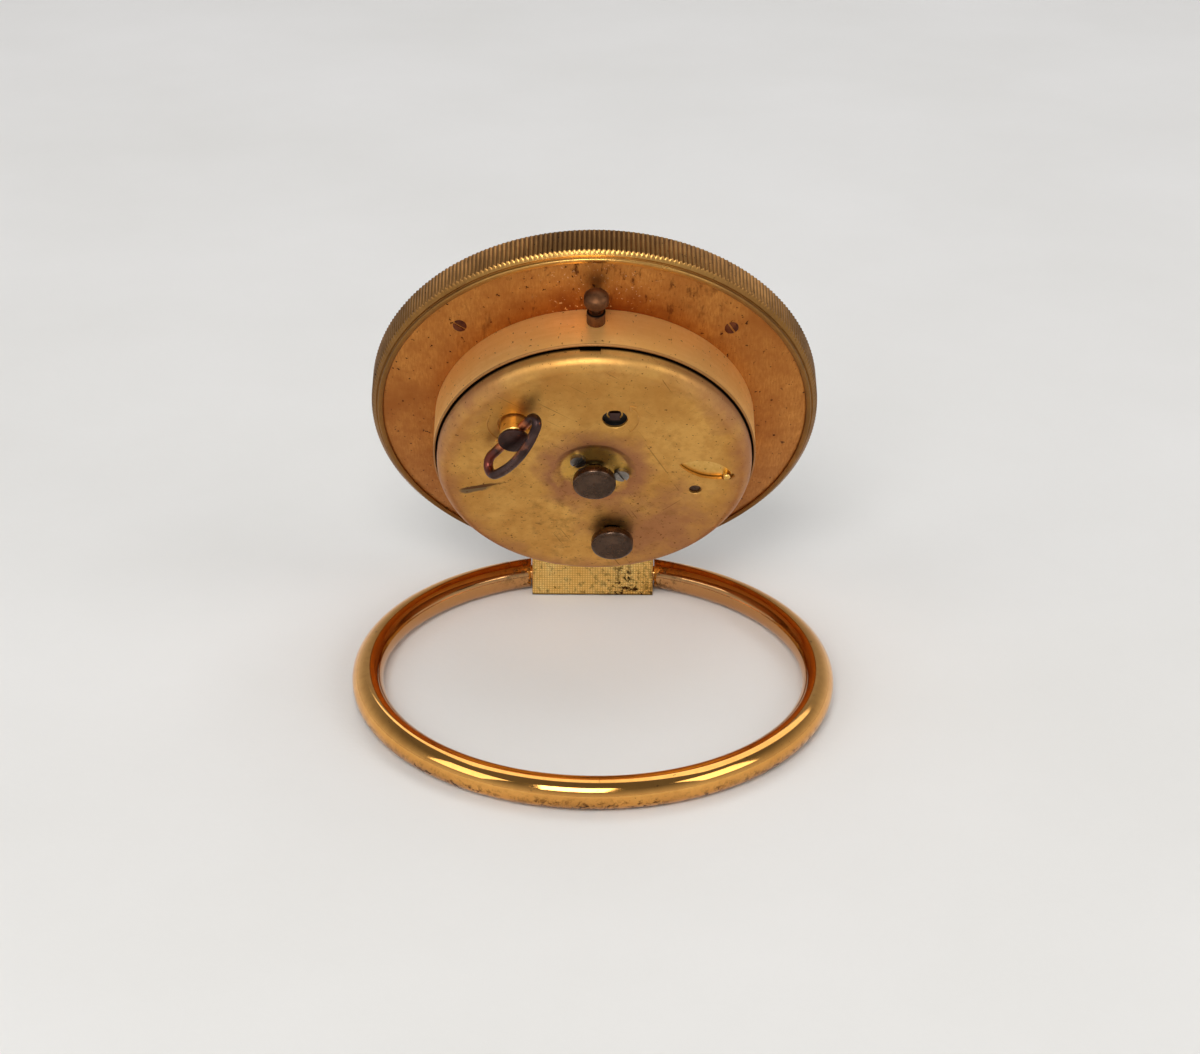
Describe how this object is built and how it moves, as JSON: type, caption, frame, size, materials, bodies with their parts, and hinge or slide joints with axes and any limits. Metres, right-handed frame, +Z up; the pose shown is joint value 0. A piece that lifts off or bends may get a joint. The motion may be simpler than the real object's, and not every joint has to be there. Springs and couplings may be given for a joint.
{
  "type": "pendulette clock",
  "caption": "Round brass alarm clock head with a ridged rim, on a folding ring stand hinged to a foot block, with winding key, setting knobs and alarm stop behind.",
  "frame": {"origin": "on the table, at the underside of the foot block, straight below the ring's pivot line", "axes": "+Z up, +X along the pivot line, the dial faces -Y and the ring lies towards +Y"},
  "size_m": [0.09, 0.0979, 0.0839],
  "materials": {
    "bezel_brass": "ridged, tarnished",
    "clear_glass": "polished",
    "dial_paint": "satin",
    "flange_brass": "brushed, reddish",
    "sleeve_brass": "satin",
    "cover_brass": "satin, tarnished",
    "block_brass": "fine cross-hatched",
    "ring_brass": "polished",
    "dark_bronze": "dark patina",
    "dark_steel": "blackened",
    "screw_steel": "dull",
    "hand_black": "satin",
    "spacer_paint": "satin",
    "movement_brass": "satin"
  },
  "bodies": {
    "case": {"bezel": "bezel_brass", "glass": "clear_glass", "glass_ring": "spacer_paint", "dial": "dial_paint", "flange": "flange_brass", "seat_ring": "movement_brass", "flange_screw_1": "screw_steel", "flange_screw_2": "screw_steel", "flange_screw_3": "screw_steel", "flange_screw_4": "screw_steel", "sleeve": "sleeve_brass", "rear_cover": "cover_brass", "cover_screw_1": "screw_steel", "cover_screw_2": "screw_steel", "foot_block": "block_brass", "foot_screw_1": "screw_steel", "foot_screw_2": "screw_steel", "front_plate": "movement_brass", "back_plate": "movement_brass", "pillar_1": "screw_steel", "pillar_2": "screw_steel", "pillar_3": "screw_steel", "pillar_4": "screw_steel", "click": "dark_steel", "stop_bush": "dark_bronze"},
    "ring_stand": {"ring_tube": "ring_brass", "pivot_pin_1": "ring_brass", "pivot_pin_2": "ring_brass"},
    "winding_arbor": {"barrel_arbor": "screw_steel", "ratchet_wheel": "movement_brass", "key_hub": "dark_steel"},
    "key_loop": {"key_bail": "dark_steel"},
    "alarm_winding_arbor": {"alarm_winder": "dark_steel"},
    "alarm_spring_barrel": {"alarm_barrel": "movement_brass"},
    "time_setter": {"time_knob": "dark_bronze", "centre_arbor": "screw_steel", "minute_hand": "hand_black"},
    "minute_gear": {"minute_wheel": "movement_brass"},
    "hour_gear": {"hour_wheel": "movement_brass", "hour_hand": "hand_black"},
    "alarm_setter": {"alarm_knob": "dark_bronze", "alarm_arbor": "screw_steel"},
    "alarm_gear": {"alarm_wheel": "movement_brass", "alarm_hand": "hand_black"},
    "spring_barrel": {"going_barrel": "movement_brass", "mainspring": "dark_steel"},
    "drive_gear": {"drive_wheel": "movement_brass"},
    "centre_gear": {"centre_wheel": "movement_brass"},
    "third_gear": {"third_wheel": "movement_brass"},
    "fourth_gear": {"fourth_wheel": "movement_brass"},
    "escape_gear": {"escape_wheel": "movement_brass"},
    "pallet_lever": {"lever": "screw_steel"},
    "balance": {"balance_wheel": "movement_brass"},
    "regulator_lever": {"regulator": "movement_brass"},
    "alarm_stop": {"stop_plunger": "dark_bronze"}
  },
  "joints": [
    {"name": "ring_fold", "type": "hinge", "parent": "case", "child": "ring_stand", "pos_m": [0, 0, 0.0029], "axis": [1, 0, 0], "range_deg": [0, 66]},
    {"name": "key_wind", "type": "hinge", "parent": "case", "child": "winding_arbor", "pos_m": [0.0148, 0.0174, 0.05372], "axis": [0, 0.9164, -0.4003], "continuous": true},
    {"name": "key_loop_fold", "type": "hinge", "parent": "winding_arbor", "child": "key_loop", "pos_m": [0.0148, 0.03142, 0.04759], "axis": [0.5948, -0.3218, -0.7366], "range_deg": [-78, 122]},
    {"name": "alarm_wind", "type": "hinge", "parent": "case", "child": "alarm_winding_arbor", "pos_m": [-0.0036, 0.01804, 0.05518], "axis": [0, 0.9164, -0.4003], "continuous": true},
    {"name": "alarm_barrel_turn", "type": "hinge", "parent": "case", "child": "alarm_spring_barrel", "pos_m": [-0.0036, 0.01804, 0.05518], "axis": [0, 0.9164, -0.4003], "continuous": true},
    {"name": "time_set", "type": "hinge", "parent": "case", "child": "time_setter", "pos_m": [0, 0.01208, 0.04153], "axis": [0, 0.9164, -0.4003], "continuous": true},
    {"name": "minute_wheel_turn", "type": "hinge", "parent": "case", "child": "minute_gear", "pos_m": [0.00564, 0.01125, 0.03965], "axis": [0, 0.9164, -0.4003], "continuous": true},
    {"name": "hour_wheel_turn", "type": "hinge", "parent": "case", "child": "hour_gear", "pos_m": [0, 0.01208, 0.04153], "axis": [0, 0.9164, -0.4003], "continuous": true},
    {"name": "alarm_set", "type": "hinge", "parent": "case", "child": "alarm_setter", "pos_m": [-0.0036, 0.00495, 0.02522], "axis": [0, 0.9164, -0.4003], "continuous": true},
    {"name": "alarm_wheel_turn", "type": "hinge", "parent": "case", "child": "alarm_gear", "pos_m": [0, 0.01208, 0.04153], "axis": [0, 0.9164, -0.4003], "continuous": true},
    {"name": "escape_turn", "type": "hinge", "parent": "case", "child": "escape_gear", "pos_m": [-0.01587, 0.00561, 0.02672], "axis": [0, 0.9164, -0.4003], "continuous": true},
    {"name": "fourth_turn", "type": "hinge", "parent": "case", "child": "fourth_gear", "pos_m": [-0.01035, 0.00746, 0.03097], "axis": [0, 0.9164, -0.4003], "continuous": true},
    {"name": "third_turn", "type": "hinge", "parent": "case", "child": "third_gear", "pos_m": [-0.00779, 0.01027, 0.03741], "axis": [0, 0.9164, -0.4003], "continuous": true},
    {"name": "centre_turn", "type": "hinge", "parent": "case", "child": "centre_gear", "pos_m": [0, 0.01208, 0.04153], "axis": [0, 0.9164, -0.4003], "continuous": true},
    {"name": "drive_turn", "type": "hinge", "parent": "case", "child": "drive_gear", "pos_m": [0.00964, 0.01374, 0.04534], "axis": [0, 0.9164, -0.4003], "continuous": true},
    {"name": "barrel_turn", "type": "hinge", "parent": "case", "child": "spring_barrel", "pos_m": [0.0148, 0.0174, 0.05372], "axis": [0, 0.9164, -0.4003], "continuous": true},
    {"name": "lever_rock", "type": "hinge", "parent": "case", "child": "pallet_lever", "pos_m": [-0.0182, 0.00747, 0.03099], "axis": [0, 0.9164, -0.4003], "range_deg": [-3, 3]},
    {"name": "balance_swing", "type": "hinge", "parent": "case", "child": "balance", "pos_m": [-0.0191, 0.01023, 0.03732], "axis": [0, 0.9164, -0.4003], "range_deg": [-150, 150]},
    {"name": "regulator_move", "type": "hinge", "parent": "case", "child": "regulator_lever", "pos_m": [-0.0191, 0.01023, 0.03732], "axis": [0, 0.9164, -0.4003], "range_deg": [0, 58]},
    {"name": "alarm_stop_push", "type": "slide", "parent": "case", "child": "alarm_stop", "axis": [0, -0.4003, -0.9164], "range_m": [0, 0.0011]}
  ],
  "couplings": [
    {"joint": "minute_wheel_turn", "follows": "time_set", "ratio": -0.33333},
    {"joint": "hour_wheel_turn", "follows": "time_set", "ratio": 0.083333},
    {"joint": "alarm_wheel_turn", "follows": "alarm_set", "ratio": -0.5},
    {"joint": "fourth_turn", "follows": "escape_turn", "ratio": -0.125},
    {"joint": "third_turn", "follows": "escape_turn", "ratio": 0.016667},
    {"joint": "centre_turn", "follows": "escape_turn", "ratio": -0.0020833},
    {"joint": "drive_turn", "follows": "escape_turn", "ratio": 0.00043103},
    {"joint": "barrel_turn", "follows": "escape_turn", "ratio": -0.000086207}
  ]
}
